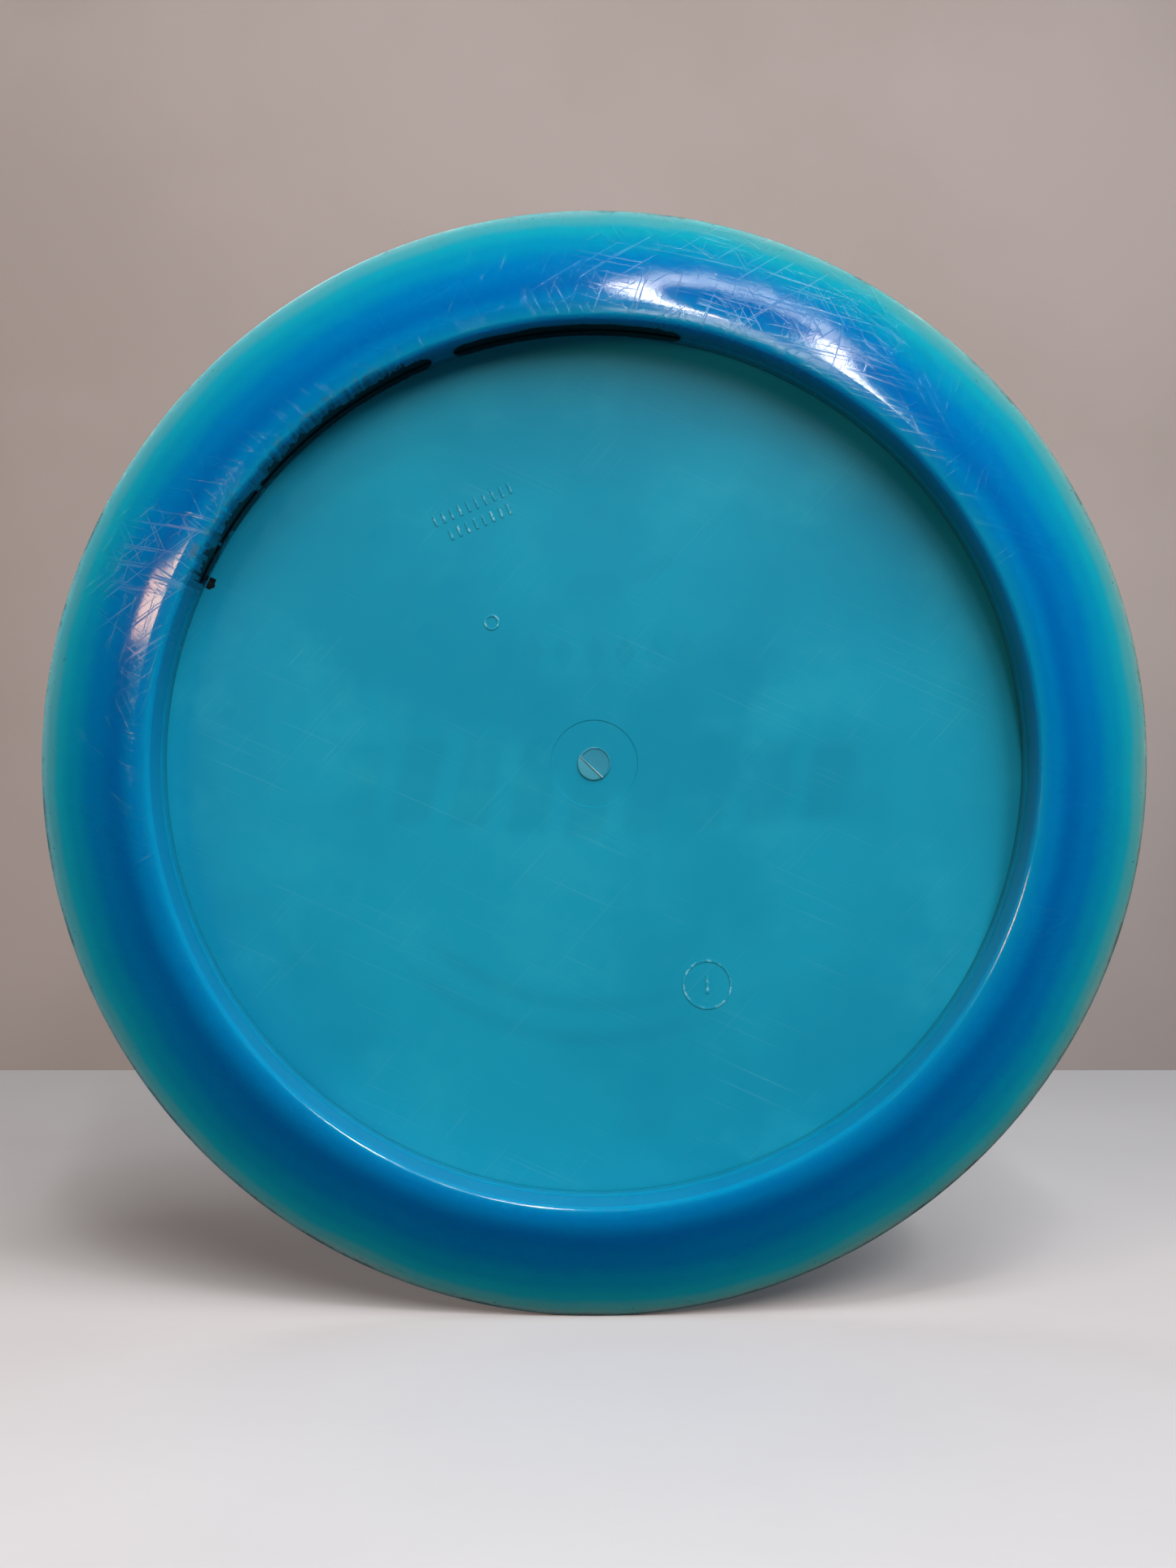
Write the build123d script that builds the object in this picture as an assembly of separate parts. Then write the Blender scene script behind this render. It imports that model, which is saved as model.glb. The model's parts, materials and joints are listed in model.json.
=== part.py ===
"""A golf disc of the distance-driver class: a thin domed flight plate seated in a wide, sharp rim.

The disc stands on edge in its own frame. Its axis is Y, the hollow underside faces -Y and the
stamped top faces +Y. The origin is on the axis, halfway between the resting land and the crown.
Lengths are millimetres and angles are degrees. Heights are measured from the resting land.
"""

from build123d import *
import math
import os

# The whole disc
outside_diameter = 211.0
rim_width = 22.6  # from the nose in to the inner wall
rim_depth = 11.6  # from the resting land up to the ledge that the plate sits on
plate_thickness = 1.9
dome_rise = 2.2  # how far the middle of the plate stands above its edge

# The rim's section
nose_height = 8.0
nose_radius = 1.1
nose_lower_slope = 24.0  # how steeply the underside leaves the nose
nose_upper_slope = 16.0
land_width = 2.0  # the flat ring that the disc rests on
corner_radius = 0.9  # between the land and the inner wall
step_height = 7.8  # where the inner wall steps inwards
wall_step = 0.3

# The joint: the plate's flange lies on the rim's ledge, keyed by a tongue in a groove
ledge_width = 3.3
tongue_width = 1.0
tongue_depth = 1.2
tongue_clearance = 0.05
seam_chamfer = 0.15  # breaks the edges where the joint shows

# The middle of the plate's underside, where the plastic entered the mould
pad_diameter = 17.0
pad_recess = 0.08
gate_diameter = 6.4
gate_standing = 0.7
gate_facet_slope = 8.0
gate_ridge_turn = -42.0  # of the ridge between the two facets, from level

# Raised mould marks on the plate's underside, as plain strokes and rings
mark_standing = 0.15
tally_place = (-22.9, 48.6)
tally_turn = 24.0
tally_rows = ((10, 1.8), (8, -1.8))  # how many strokes, and how far above the middle
tally_pitch = 1.75
tally_stroke = (0.45, 2.1)
dial_place = (22.0, -42.9)
dial_diameter = 9.6
dial_pointer = (0.6, 3.4)
ring_mark_place = (-19.9, 27.5)
ring_mark_diameter = 3.0
ring_line = 0.4

# The stamped foil on the plate's top
foil_thickness = 0.12
band_bars = 9
band_pitch = 11.4
band_bar_width = 7.6
band_bar_height = 22.0
band_bar_fall = 1.9  # each bar is this much shorter than its neighbour nearer the middle
band_lean = 12.0
band_drop = 3.5  # how far the band's centre line lies below the disc's axis
row_lozenges = 7
row_pitch = 6.0
row_lozenge = (4.4, 7.0)
row_rise = 21.5
crest_rise = 33.0
crest_rays = 7
crest_spread = 132.0
crest_hub_radius = 5.2
crest_ray = (2.6, 8.5)
crest_ray_start = 8.5
sweep_radii = (47.0, 53.5)
sweep_width = 3.0
sweep_spread = 84.0

# Marker ink on the inner wall
ink_thickness = 0.06
ink_low = 5.8
ink_gap = 0.4  # between the ink and the plate
long_stroke = (112.0, 155.5)  # start and end, counted from +X towards +Z
short_stroke = (78.5, 109.0)

# Worked out from the sizes above
outside_radius = outside_diameter / 2
wall_radius = outside_radius - rim_width
upper_wall_radius = wall_radius - wall_step
joint_radius = upper_wall_radius + ledge_width
overall_height = rim_depth + dome_rise + plate_thickness + foil_thickness
underside_radius = (upper_wall_radius**2 + dome_rise**2) / (2 * dome_rise)
top_radius = underside_radius + plate_thickness
dome_centre = rim_depth + dome_rise - underside_radius
crown_underside = rim_depth + dome_rise
ink_high = rim_depth - ink_gap


def at(radius, height):
    """A point of a section, from its distance to the axis and its height above the land."""
    return (radius, height - overall_height / 2)


def dome_height(radius, dome_radius):
    """How high a dome of that radius stands at a distance from the axis."""
    return dome_centre + math.sqrt(dome_radius**2 - radius**2)


def dome_arc(start, end, dome_radius):
    """The dome's line from one distance from the axis to another."""
    radii = (start, (start + end) / 2, end)
    return ThreePointArc(*(at(radius, dome_height(radius, dome_radius)) for radius in radii))


def turned(lines):
    """A solid of revolution about the disc's axis, from the lines round its half section."""
    return revolve(make_face(Curve() + lines), axis=Axis.Y)


def wall_points(low, high):
    """The inner wall's points between two heights on either side of its step."""
    return [
        (wall_radius, low),
        (wall_radius, step_height),
        (upper_wall_radius, step_height + wall_step),
        (upper_wall_radius, high),
    ]


def tongue_points(clearance):
    """The points round the tongue, or round its groove when there is a clearance."""
    middle = upper_wall_radius + ledge_width / 2
    half = tongue_width / 2 + clearance
    tip = rim_depth - tongue_depth - clearance
    return [
        at(middle - half, rim_depth),
        at(middle - half, tip),
        at(middle + half, tip),
        at(middle + half, rim_depth),
    ]


def joint_edge():
    """The foot and the head of the upright face between the plate's edge and the rim."""
    head = dome_height(joint_radius, top_radius) - seam_chamfer
    return [at(joint_radius, rim_depth), at(joint_radius, head)]


def rim_underside(nose_foot):
    """From the nose to the land, tangent to both."""
    slope = math.tan(math.radians(nose_lower_slope))
    radius, height = nose_foot
    corner = (radius - height / slope, 0)
    land_outside = (wall_radius + corner_radius + land_width, 0)
    return Bezier(at(*nose_foot), at(*corner), at(*land_outside))


def rim_shoulder(nose_head):
    """From the nose to the joint, tangent to the nose and to the plate's dome."""
    slope = math.tan(math.radians(nose_upper_slope))
    start = joint_radius + seam_chamfer
    height = dome_height(start, top_radius)
    fall = start / math.sqrt(top_radius**2 - start**2)
    radius = (nose_head[1] - height + slope * nose_head[0] - fall * start) / (slope - fall)
    corner = (radius, height - fall * (radius - start))
    return Bezier(at(*nose_head), at(*corner), at(start, height))


def rim():
    lower = math.radians(nose_lower_slope)
    upper = math.radians(nose_upper_slope)
    nose_centre = outside_radius - nose_radius
    nose_foot = (
        nose_centre + nose_radius * math.sin(lower),
        nose_height - nose_radius * math.cos(lower),
    )
    nose_head = (
        nose_centre + nose_radius * math.sin(upper),
        nose_height + nose_radius * math.cos(upper),
    )
    land_inside = (wall_radius + corner_radius, 0)
    underside = rim_underside(nose_foot)
    shoulder = rim_shoulder(nose_head)
    lines = [
        Line(at(*land_inside), underside @ 1),
        underside,
        ThreePointArc(at(*nose_foot), at(outside_radius, nose_height), at(*nose_head)),
        shoulder,
        Polyline(
            shoulder @ 1,
            *reversed(joint_edge()),
            *reversed(tongue_points(tongue_clearance)),
            at(upper_wall_radius + seam_chamfer, rim_depth),
            *(at(*point) for point in reversed(wall_points(corner_radius, rim_depth - seam_chamfer))),
        ),
        TangentArc(at(*land_inside), at(wall_radius, corner_radius), tangent=(-1, 0)),
    ]
    return turned(lines)


def flight_plate():
    pad_radius = pad_diameter / 2
    pad_height = crown_underside + pad_recess
    top_edge = joint_radius - seam_chamfer
    lines = [
        dome_arc(upper_wall_radius, pad_radius, underside_radius),
        Polyline(
            at(pad_radius, dome_height(pad_radius, underside_radius)),
            at(pad_radius, pad_height),
            at(0, pad_height),
            at(0, crown_underside + plate_thickness),
        ),
        dome_arc(0, top_edge, top_radius),
        Polyline(
            at(top_edge, dome_height(top_edge, top_radius)),
            *reversed(joint_edge()),
            *reversed(tongue_points(0)),
            at(upper_wall_radius, rim_depth),
        ),
    ]
    return turned(lines)


def gate_stub():
    """The cut end of the sprue: a low round button with two facets that meet at a ridge."""
    radius = gate_diameter / 2
    eaves = gate_standing - radius * math.tan(math.radians(gate_facet_slope))
    roof = make_face(
        Polyline(
            (-radius, 0),
            (radius, 0),
            (radius, eaves),
            (0, gate_standing),
            (-radius, eaves),
            close=True,
        )
    )
    button = extrude(roof, amount=radius, both=True) & Rot(90, 0, 0) * Cylinder(radius, 2 * gate_standing)
    hanging = Rot(180, 0, 0) * button
    foot = crown_underside + pad_recess - overall_height / 2
    return Pos(0, foot, 0) * Rot(0, 90 - gate_ridge_turn, 0) * hanging


def film(outline, dome_radius, thickness):
    """A thin layer of that outline lying on one of the plate's domes, from dome_radius outwards."""
    centre = Pos(0, dome_centre - overall_height / 2, 0)
    column = extrude(Plane.XZ * outline, amount=overall_height, both=True)
    return (column & centre * Sphere(dome_radius + thickness)) - centre * Sphere(dome_radius)


def films(outlines, dome_radius, thickness):
    return Compound(children=[film(outline, dome_radius, thickness) for outline in outlines])


def ring(diameter):
    return Circle(diameter / 2) - Circle(diameter / 2 - ring_line)


def tally_strokes():
    """Two short rows of strokes side by side, where a maker's line would be."""
    strokes = []
    for count, rise in tally_rows:
        for number in range(count):
            along = (number - (count - 1) / 2) * tally_pitch
            place = Pos(*tally_place) * Rot(0, 0, tally_turn) * Pos(along, rise)
            strokes.append(place * Rectangle(*tally_stroke))
    return strokes


def mould_marks():
    dial = Pos(*dial_place)
    outlines = tally_strokes()
    outlines.append(dial * ring(dial_diameter))
    outlines.append(dial * Rectangle(*dial_pointer))
    outlines.append(Pos(*ring_mark_place) * ring(ring_mark_diameter))
    return films(outlines, underside_radius - mark_standing, mark_standing)


def foil_band():
    """A row of leaning bars across the middle, the tallest in the middle."""
    bars = []
    for number in range(band_bars):
        steps = number - (band_bars - 1) / 2
        half_width = band_bar_width / 2
        half_height = (band_bar_height - abs(steps) * band_bar_fall) / 2
        lean = half_height * math.tan(math.radians(band_lean))
        bar = make_face(
            Polyline(
                (-half_width - lean, -half_height),
                (half_width - lean, -half_height),
                (half_width + lean, half_height),
                (-half_width + lean, half_height),
                close=True,
            )
        )
        bars.append(Pos(steps * band_pitch, -band_drop) * bar)
    return films(bars, top_radius, foil_thickness)


def foil_row():
    """A short row of lozenges between the crest and the band."""
    half_width, half_height = (side / 2 for side in row_lozenge)
    lozenge = make_face(
        Polyline((-half_width, 0), (0, -half_height), (half_width, 0), (0, half_height), close=True)
    )
    places = [(number - (row_lozenges - 1) / 2) * row_pitch for number in range(row_lozenges)]
    return films([Pos(along, row_rise) * lozenge for along in places], top_radius, foil_thickness)


def foil_crest():
    """A half disc with a fan of rays over it."""
    upper_half = Pos(0, crest_hub_radius) * Rectangle(2 * crest_hub_radius, 2 * crest_hub_radius)
    outlines = [Circle(crest_hub_radius) & upper_half]
    for number in range(crest_rays):
        turn = (number / (crest_rays - 1) - 0.5) * crest_spread
        outlines.append(Rot(0, 0, turn) * Pos(0, crest_ray_start + crest_ray[1] / 2) * Rectangle(*crest_ray))
    return films([Pos(0, crest_rise) * outline for outline in outlines], top_radius, foil_thickness)


def foil_sweep():
    """Arcs below the band, about the disc's axis."""
    outlines = []
    for radius in sweep_radii:
        line = CenterArc((0, 0), radius, 270 - sweep_spread / 2, sweep_spread)
        outlines.append(trace(line, sweep_width))
    return films(outlines, top_radius, foil_thickness)


def ink_stroke(start, end):
    """A film of ink that follows the inner wall between two angles."""
    wall = wall_points(ink_low, ink_high)
    face = [(radius - ink_thickness, height) for radius, height in reversed(wall)]
    section = make_face(Polyline(*(at(*point) for point in wall + face), close=True))
    # A turn about +Y runs from +X towards -Z, against the way that the strokes are counted.
    return Rot(0, -end, 0) * revolve(section, axis=Axis.Y, revolution_arc=end - start)


def main():
    parts = {
        "rim": rim(),
        "flight_plate": flight_plate(),
        "gate_stub": gate_stub(),
        "mould_marks": mould_marks(),
        "foil_crest": foil_crest(),
        "foil_row": foil_row(),
        "foil_band": foil_band(),
        "foil_sweep": foil_sweep(),
        "ink_stroke_long": ink_stroke(*long_stroke),
        "ink_stroke_short": ink_stroke(*short_stroke),
    }
    os.makedirs("parts", exist_ok=True)
    for name, shape in parts.items():
        export_step(shape, f"parts/{name}.step")
        print(f"{name}: {shape.volume / 1000:.3f} cm3")


main()
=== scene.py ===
import json
import math
from collections import Counter

import bpy
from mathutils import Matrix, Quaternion, Vector, noise

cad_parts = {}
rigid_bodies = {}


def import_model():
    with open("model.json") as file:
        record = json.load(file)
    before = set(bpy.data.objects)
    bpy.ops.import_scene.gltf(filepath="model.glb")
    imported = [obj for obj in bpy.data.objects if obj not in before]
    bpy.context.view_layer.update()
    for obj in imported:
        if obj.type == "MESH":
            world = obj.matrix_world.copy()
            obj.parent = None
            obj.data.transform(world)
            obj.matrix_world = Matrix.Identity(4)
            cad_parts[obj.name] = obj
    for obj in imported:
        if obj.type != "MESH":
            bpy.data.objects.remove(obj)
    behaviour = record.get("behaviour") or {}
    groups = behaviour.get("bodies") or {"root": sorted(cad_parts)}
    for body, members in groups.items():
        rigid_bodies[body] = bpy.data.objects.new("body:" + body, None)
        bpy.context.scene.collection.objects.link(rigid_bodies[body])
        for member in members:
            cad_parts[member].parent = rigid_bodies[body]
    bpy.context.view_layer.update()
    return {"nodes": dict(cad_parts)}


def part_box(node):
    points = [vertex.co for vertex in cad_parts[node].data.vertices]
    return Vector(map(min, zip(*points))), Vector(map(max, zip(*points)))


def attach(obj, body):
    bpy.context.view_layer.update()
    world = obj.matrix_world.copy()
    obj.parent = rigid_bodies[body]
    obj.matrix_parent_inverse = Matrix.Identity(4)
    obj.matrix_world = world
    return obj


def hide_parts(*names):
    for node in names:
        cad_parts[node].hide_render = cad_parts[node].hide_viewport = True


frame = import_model()
print("frame loaded:", len(frame["nodes"]), "nodes")

mm = 0.001
rimLow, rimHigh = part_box("rim")
discRadius = rimHigh[0]
landDepth = rimLow[1]  # the underside faces -Y, so the land is the nearest ring
floorHeight = rimLow[2]


# the camera

cameraSettings = {
    "standoff": 290.0,  # from the land to the lens
    "aside": -1.2,
    "rise": -4.0,
    "lens": 35.8,
    "nearest": 0.005,
}


def placeCamera(settings):
    data = bpy.data.cameras.new("camera")
    data.lens = settings["lens"]
    data.clip_start = settings["nearest"]
    camera = bpy.data.objects.new("camera", data)
    bpy.context.scene.collection.objects.link(camera)
    away = landDepth - settings["standoff"] * mm
    camera.location = (settings["aside"] * mm, away, settings["rise"] * mm)
    camera.rotation_euler = (math.pi / 2, 0, 0)
    bpy.context.scene.camera = camera


placeCamera(cameraSettings)
bpy.context.scene.view_settings.view_transform = "Standard"
print("camera placed")


# small helpers for node materials

def tone(code):
    channels = [int(code[start:start + 2], 16) / 255 for start in (0, 2, 4)]
    linear = [c / 12.92 if c <= 0.04045 else ((c + 0.055) / 1.055) ** 2.4 for c in channels]
    return (*linear, 1.0)


def newMaterial(name):
    material = bpy.data.materials.new(name)
    material.use_nodes = True
    tree = material.node_tree
    shader = tree.nodes["Principled BSDF"]
    return material, tree, shader


def feed(tree, socket, value):
    if hasattr(value, "is_output"):
        tree.links.new(value, socket)
    else:
        socket.default_value = value


def calc(tree, operation, *values):
    node = tree.nodes.new("ShaderNodeMath")
    node.operation = operation
    for socket, value in zip(node.inputs, values):
        feed(tree, socket, value)
    return node.outputs[0]


def between(tree, value, low, high, first=0.0, last=1.0):
    node = tree.nodes.new("ShaderNodeMapRange")
    node.interpolation_type = "SMOOTHSTEP"
    for socket, given in zip(node.inputs, (value, low, high, first, last)):
        feed(tree, socket, given)
    return node.outputs[0]


def ramp(tree, value, low, high, stops):
    place = tree.nodes.new("ShaderNodeMapRange")
    for socket, given in zip(place.inputs, (value, low, high)):
        feed(tree, socket, given)
    node = tree.nodes.new("ShaderNodeValToRGB")
    tree.links.new(place.outputs[0], node.inputs[0])
    node.color_ramp.interpolation = "EASE"
    elements = node.color_ramp.elements
    while len(elements) < len(stops):
        elements.new(0.5)
    for element, (position, colour) in zip(elements, stops):
        element.position = (position - low) / (high - low)
        element.color = tone(colour)
    return node.outputs[0]


def blend(tree, factor, first, second):
    node = tree.nodes.new("ShaderNodeMix")
    node.data_type = "RGBA"
    feed(tree, node.inputs[0], factor)
    feed(tree, node.inputs[6], first)
    feed(tree, node.inputs[7], second)
    return node.outputs[2]


def vector(tree, x, y, z):
    node = tree.nodes.new("ShaderNodeCombineXYZ")
    for socket, value in zip(node.inputs, (x, y, z)):
        feed(tree, socket, value)
    return node.outputs[0]


def turned(tree, coords, turn, stretch, through=1.0):
    # turns a pattern in the disc's plane and stretches it along its first direction and through the disc
    node = tree.nodes.new("ShaderNodeMapping")
    node.vector_type = "TEXTURE"
    tree.links.new(coords, node.inputs["Vector"])
    node.inputs["Rotation"].default_value = (0, math.radians(turn), 0)
    node.inputs["Scale"].default_value = (stretch, through, 1)
    return node.outputs[0]


def grain(tree, coords, scale, detail=2.0, roughness=0.5):
    node = tree.nodes.new("ShaderNodeTexNoise")
    tree.links.new(coords, node.inputs["Vector"])
    node.inputs["Scale"].default_value = scale
    node.inputs["Detail"].default_value = detail
    node.inputs["Roughness"].default_value = roughness
    return node.outputs["Fac"]


def hairlines(tree, coords, scale, width, detail=1.0):
    # thin lines where a noise passes its middle value
    height = calc(tree, "SUBTRACT", grain(tree, coords, scale, detail), 0.5)
    return between(tree, calc(tree, "ABSOLUTE", height), 0.0, width, 1.0, 0.0)


def bump(tree, height, distance, strength=1.0, below=None):
    node = tree.nodes.new("ShaderNodeBump")
    tree.links.new(height, node.inputs["Height"])
    node.inputs["Distance"].default_value = distance
    node.inputs["Strength"].default_value = strength
    if below is not None:
        tree.links.new(below, node.inputs["Normal"])
    return node.outputs[0]


def relief(tree, place, layers):
    # bumps from coarse to fine: scale, detail, roughness, height in metres, strength
    surface = None
    for scale, detail, roughness, height, strength in layers:
        noiseHeight = grain(tree, place["coords"], scale, detail, roughness)
        surface = bump(tree, noiseHeight, height, strength, surface)
    return surface


def distance(tree, across, up):
    squares = calc(tree, "ADD", calc(tree, "MULTIPLY", across, across), calc(tree, "MULTIPLY", up, up))
    return calc(tree, "SQRT", squares)


def discPlaces(tree):
    # place on the disc in millimetres: across, up and from the axis, and which way the surface faces
    coords = tree.nodes.new("ShaderNodeTexCoord")
    scaled = tree.nodes.new("ShaderNodeVectorMath")
    scaled.operation = "SCALE"
    tree.links.new(coords.outputs["Object"], scaled.inputs[0])
    scaled.inputs["Scale"].default_value = 1 / mm
    parts = tree.nodes.new("ShaderNodeSeparateXYZ")
    tree.links.new(scaled.outputs[0], parts.inputs[0])
    x, _, z = parts.outputs
    facing = tree.nodes.new("ShaderNodeSeparateXYZ")
    tree.links.new(coords.outputs["Normal"], facing.inputs[0])
    return {
        "coords": scaled.outputs[0],
        "x": x,
        "z": z,
        "radius": distance(tree, x, z),
        "facing": facing.outputs[1],
    }


def aroundAxis(tree, place, across, along):
    # coordinates that run round the axis with no seam: lines in them follow the rim
    side = calc(tree, "MULTIPLY", calc(tree, "DIVIDE", place["x"], place["radius"]), along)
    up = calc(tree, "MULTIPLY", calc(tree, "DIVIDE", place["z"], place["radius"]), along)
    return vector(tree, side, calc(tree, "MULTIPLY", place["radius"], across), up)


def strongest(tree, *values):
    total = values[0]
    for value in values[1:]:
        total = calc(tree, "MAXIMUM", total, value)
    return total


def inside(tree, value, limit, soft):
    # 1 where the size of value is under limit, falling to 0 across a soft edge
    over = calc(tree, "SUBTRACT", calc(tree, "ABSOLUTE", value), limit)
    return between(tree, over, -soft / 2, soft / 2, 1.0, 0.0)


def allOf(tree, *values):
    total = values[0]
    for value in values[1:]:
        total = calc(tree, "MULTIPLY", total, value)
    return total


# through: how far the pattern reaches through the disc, so that a scratch stays straight over a slope
scratchCut = {"through": 60.0, "edge": 0.035, "patches": (0.40, 0.55)}


def scratches(tree, place, sets):
    # handling scratches: straight ones in a few directions, each set in its own patches
    layers = []
    for turn, length, width, rarity, patch in sets:
        coords = turned(tree, place["coords"], turn, length / width, scratchCut["through"])
        lines = between(tree, grain(tree, coords, 0.5 / width, 1.0), rarity, rarity + scratchCut["edge"])
        patches = between(tree, grain(tree, place["coords"], patch, 1.0), *scratchCut["patches"])
        layers.append(calc(tree, "MULTIPLY", lines, patches))
    return strongest(tree, *layers)


# the moulded plastics

plasticIndex = 1.5  # how strongly the plastic bends light

rimFinish = {
    # deeper blue where the plastic is thicker; paler at the first stops by the wall's corner, a painted glow
    # of light coming through the plastic there; the last stop is the thin worn nose, paler and greyer with
    # painted light from behind seen through it
    "depthRange": (82.6, 106.0),
    "depthTonesAndGlow": (
        # paler by the corner: painted glow of light coming through the plastic
        (82.6, "0a87b4"),
        (83.6, "0682b0"),
        (86.0, "0077b0"),
        (89.5, "0065a8"),
        (94.0, "0072b0"),
        (98.5, "0489b0"),
        (101.5, "0f98ae"),
        # paler and greyer towards the nose: painted light from behind seen through the thin plastic
        (103.6, "4499a1"),
        (105.2, "6e9a9c"),
    ),
    "drift": {"scale": 0.035, "shift": 3.0},  # clouds move the blues in and out by this much
    # direction, length and width in millimetres, how rare, and how its patches spread
    "scratchSets": (
        (12, 18.0, 0.26, 0.62, 0.05),
        (17, 12.0, 0.30, 0.65, 0.08),
        (-34, 11.0, 0.24, 0.65, 0.06),
        (64, 8.0, 0.18, 0.66, 0.045),
        (-72, 7.0, 0.16, 0.67, 0.07),
        (38, 6.0, 0.16, 0.66, 0.10),
    ),
    "arcs": {"flow": (5.0, 14.0), "rare": (0.70, 0.74), "patchScale": 0.03, "patches": (0.45, 0.65)},
    # where the rim has been handled most: across, up and how far it spreads
    "worn": ((28.0, 86.0, 24.0), (-79.0, 34.0, 12.0)),
    "wornFade": (0.5, 1.6, 0.18),  # full wear inside this share of the spread, this much past the next
    "nose": {"reach": (104.5, 105.2), "flow": (0.1, 9.0), "dirty": (0.5, 0.62), "scuffed": (0.42, 0.34)},
    "specks": {"scale": 1.3, "rare": (0.71, 0.76), "reach": (99.0, 105.0)},
    "chafes": {"flow": (2.2, 40.0), "rare": (0.62, 0.72), "reach": (101.0, 104.6)},
    # ink wiped outwards over the corner beside the long stroke: directions and distances from the axis
    "smear": {
        "start": 117.0,
        "end": 157.0,
        "endSoft": 0.05,
        "reach": 84.5,
        "ragged": 5.0,
        "fade": (-1.2, 0.1),
        "streakFlow": (0.35, 75.0),
        "streaks": (0.35, 0.6),
        "blotFlow": (0.5, 18.0),
    },
    # what each kind of wear does: its tone and how much of it shows
    "tints": {
        "marks": ("7fc4dc", 0.02),
        "chafes": ("3d6e66", 0.45),
        "scuffs": ("a9c8c0", 0.45),
        "dirt": ("45473a", 0.7),
        "specks": ("1d3a3c", 0.6),
        "smear": ("02283c", 0.5),
    },
    "roughness": 0.035,
    "haze": (0.09, 0.09),  # the scale of the haze and how much roughness it adds
    "roughening": {"marks": 0.32, "smear": 0.3, "nose": 0.2},
    # scale, detail, roughness, height in metres, strength
    "relief": ((0.06, 1.0, 0.5, 0.00025, 0.5), (2.5, 3.0, 0.6, 0.000012, 0.5)),
    "grooves": (0.00003, 0.8),
    "glow": {"Weight": 0.9, "Radius": (0.08, 1.0, 1.4), "Scale": 0.008},
}


def smearMask(tree, place, smear):
    turn = calc(tree, "ARCTAN2", place["z"], place["x"])
    middle = math.radians((smear["start"] + smear["end"]) / 2)
    reach = math.radians((smear["end"] - smear["start"]) / 2)
    sideways = inside(tree, calc(tree, "SUBTRACT", turn, middle), reach, smear["endSoft"])
    streaks = grain(tree, aroundAxis(tree, place, *smear["streakFlow"]), 1.0, 3.0, 0.6)
    blots = grain(tree, aroundAxis(tree, place, *smear["blotFlow"]), 1.0, 2.0)
    edge = calc(tree, "MULTIPLY_ADD", blots, smear["ragged"], smear["reach"] - smear["ragged"] / 2)
    outward = between(tree, calc(tree, "SUBTRACT", place["radius"], edge), *smear["fade"], 1.0, 0.0)
    return allOf(tree, sideways, outward, between(tree, streaks, *smear["streaks"]))


def handledMask(tree, place, settings):
    near, far, beyond = settings["wornFade"]
    areas = []
    for across, up, spread in settings["worn"]:
        aside = calc(tree, "SUBTRACT", place["x"], across)
        away = distance(tree, aside, calc(tree, "SUBTRACT", place["z"], up))
        areas.append(between(tree, away, spread * near, spread * far, 1.0, beyond))
    return strongest(tree, *areas)


def rimMarks(tree, place, settings):
    # straight scratches, and arcs that follow the rim, both mostly where it has been handled
    handled = handledMask(tree, place, settings)
    lines = calc(tree, "MULTIPLY", scratches(tree, place, settings["scratchSets"]), handled)
    arcs = settings["arcs"]
    swept = between(tree, grain(tree, aroundAxis(tree, place, *arcs["flow"]), 1.0, 1.0), *arcs["rare"])
    patches = between(tree, grain(tree, place["coords"], arcs["patchScale"]), *arcs["patches"])
    return strongest(tree, lines, allOf(tree, swept, patches, handled))


def rimWear(tree, place, settings):
    # the nose is scuffed pale in runs and holds dirt in others
    nose, specks, chafes = settings["nose"], settings["specks"], settings["chafes"]
    edge = between(tree, place["radius"], *nose["reach"])
    runs = grain(tree, aroundAxis(tree, place, *nose["flow"]), 1.0, 5.0, 0.7)
    spots = between(tree, grain(tree, place["coords"], specks["scale"], 2.0), *specks["rare"])
    rubs = grain(tree, aroundAxis(tree, place, *chafes["flow"]), 1.0, 3.0, 0.6)
    return {
        "nose": edge,
        "dirt": calc(tree, "MULTIPLY", edge, between(tree, runs, *nose["dirty"])),
        "scuffs": calc(tree, "MULTIPLY", edge, between(tree, runs, *nose["scuffed"])),
        "specks": calc(tree, "MULTIPLY", spots, between(tree, place["radius"], *specks["reach"])),
        "chafes": calc(
            tree,
            "MULTIPLY",
            between(tree, rubs, *chafes["rare"]),
            between(tree, place["radius"], *chafes["reach"]),
        ),
    }


def paintRim(settings):
    material, tree, shader = newMaterial("rimPlastic")
    place = discPlaces(tree)
    cloud = calc(tree, "SUBTRACT", grain(tree, place["coords"], settings["drift"]["scale"], 3.0), 0.5)
    shift = calc(tree, "MULTIPLY", cloud, settings["drift"]["shift"])
    shifted = calc(tree, "ADD", place["radius"], shift)
    colour = ramp(tree, shifted, *settings["depthRange"], settings["depthTonesAndGlow"])
    layers = {"marks": rimMarks(tree, place, settings), "smear": smearMask(tree, place, settings["smear"])}
    layers.update(rimWear(tree, place, settings))
    for name, (code, share) in settings["tints"].items():
        colour = blend(tree, calc(tree, "MULTIPLY", layers[name], share), colour, tone(code))
    tree.links.new(colour, shader.inputs["Base Color"])
    scale, share = settings["haze"]
    rough = calc(tree, "MULTIPLY_ADD", grain(tree, place["coords"], scale, 3.0), share, settings["roughness"])
    for name, share in settings["roughening"].items():
        rough = calc(tree, "MULTIPLY_ADD", layers[name], share, rough)
    tree.links.new(rough, shader.inputs["Roughness"])
    grooves = calc(tree, "MULTIPLY", layers["marks"], -1.0)
    surface = relief(tree, place, settings["relief"])
    tree.links.new(bump(tree, grooves, *settings["grooves"], surface), shader.inputs["Normal"])
    shader.inputs["IOR"].default_value = plasticIndex
    for name, value in settings["glow"].items():
        shader.inputs[f"Subsurface {name}"].default_value = value
    return material


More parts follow.
